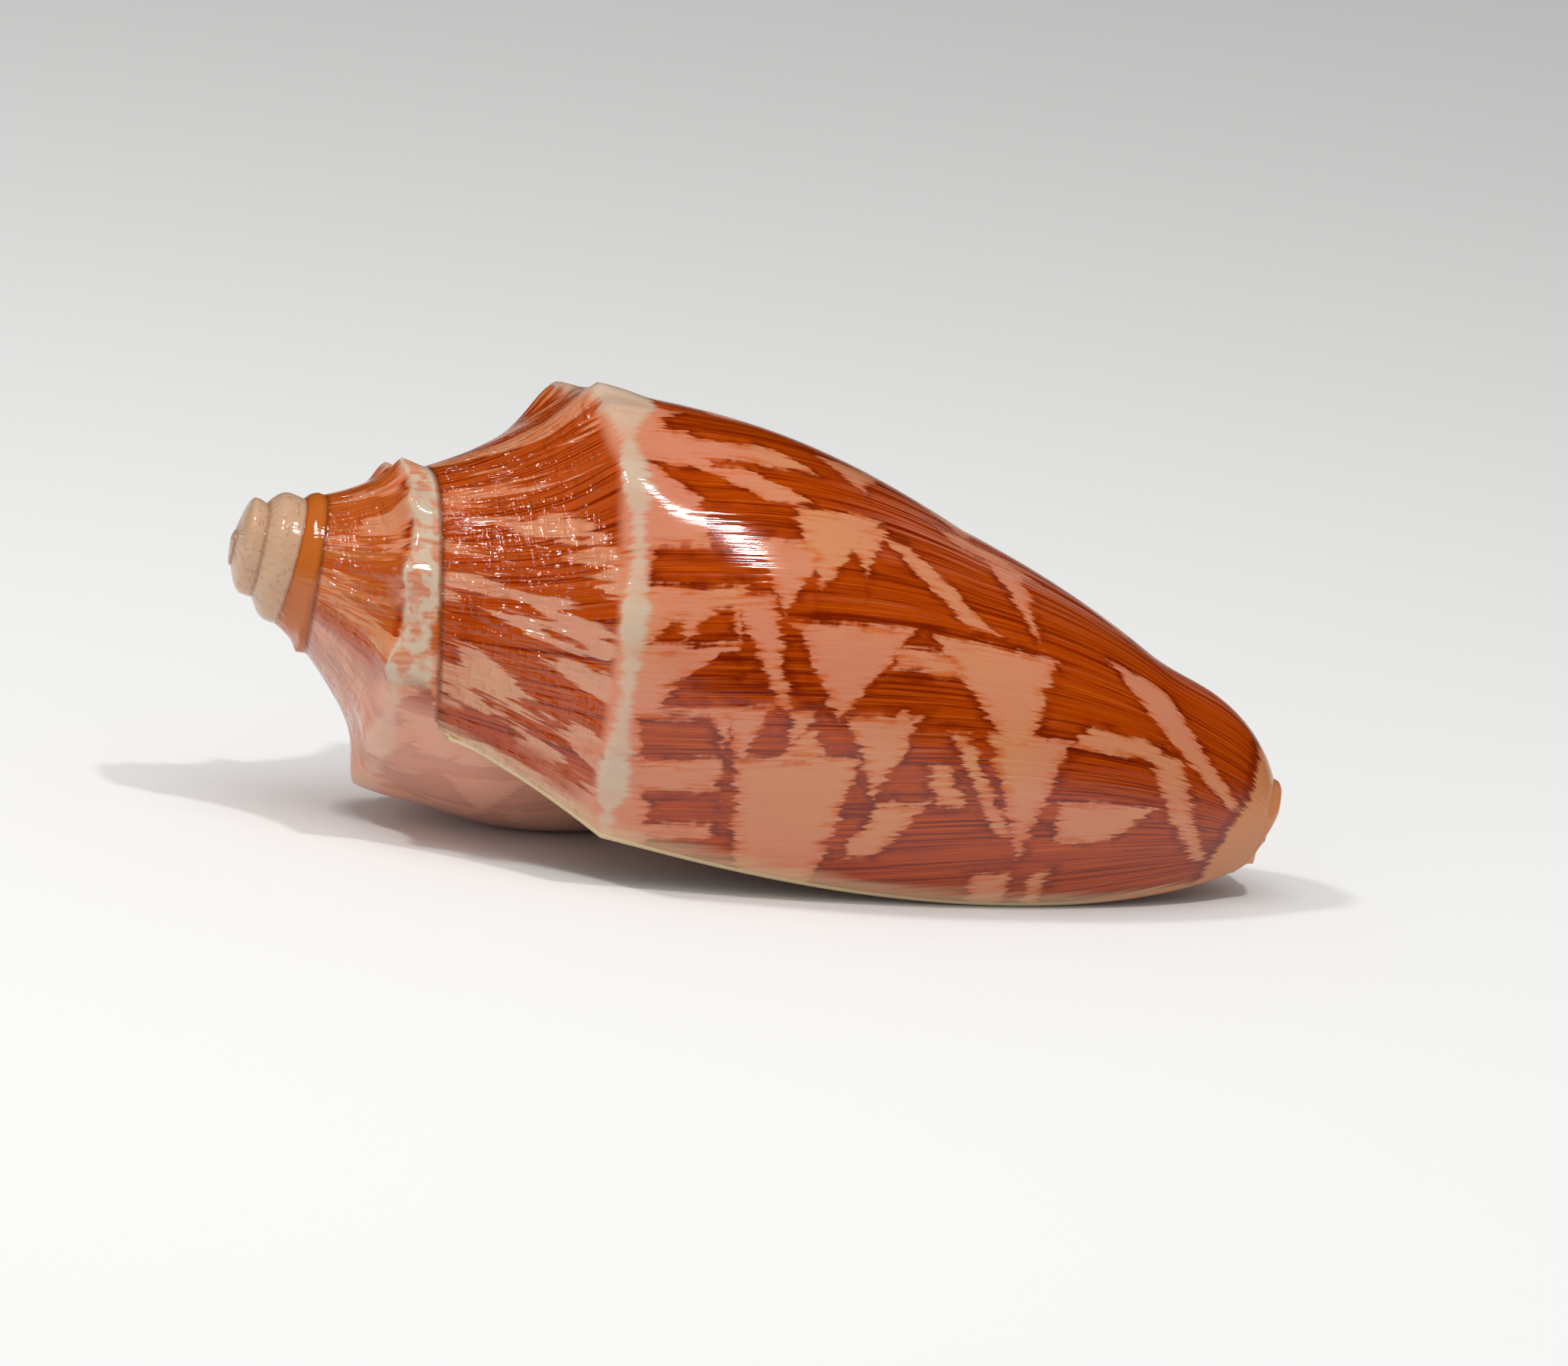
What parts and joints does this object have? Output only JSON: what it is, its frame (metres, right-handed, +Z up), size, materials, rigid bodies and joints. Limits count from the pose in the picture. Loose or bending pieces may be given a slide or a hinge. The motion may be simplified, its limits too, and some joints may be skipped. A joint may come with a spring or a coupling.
{
  "type": "volute shell",
  "caption": "Volute sea shell with a low beaded spire, pointed shoulder knobs, a long tapering last whorl and a folded mouth, lying mouth down.",
  "frame": {"origin": "centre of the shell's footprint box on the surface it lies on", "axes": "+X along the shell from the spire towards the front end, +Z up with the mouth down, -Y the side that the picture shows"},
  "size_m": [0.0896, 0.041, 0.0386],
  "materials": {
    "shell": "glossy natural shell: salmon tents on orange-brown with fine dark streaks along the growth lines, cream shoulder and lip"
  },
  "bodies": {
    "root": {"shell": "shell"}
  },
  "joints": []
}
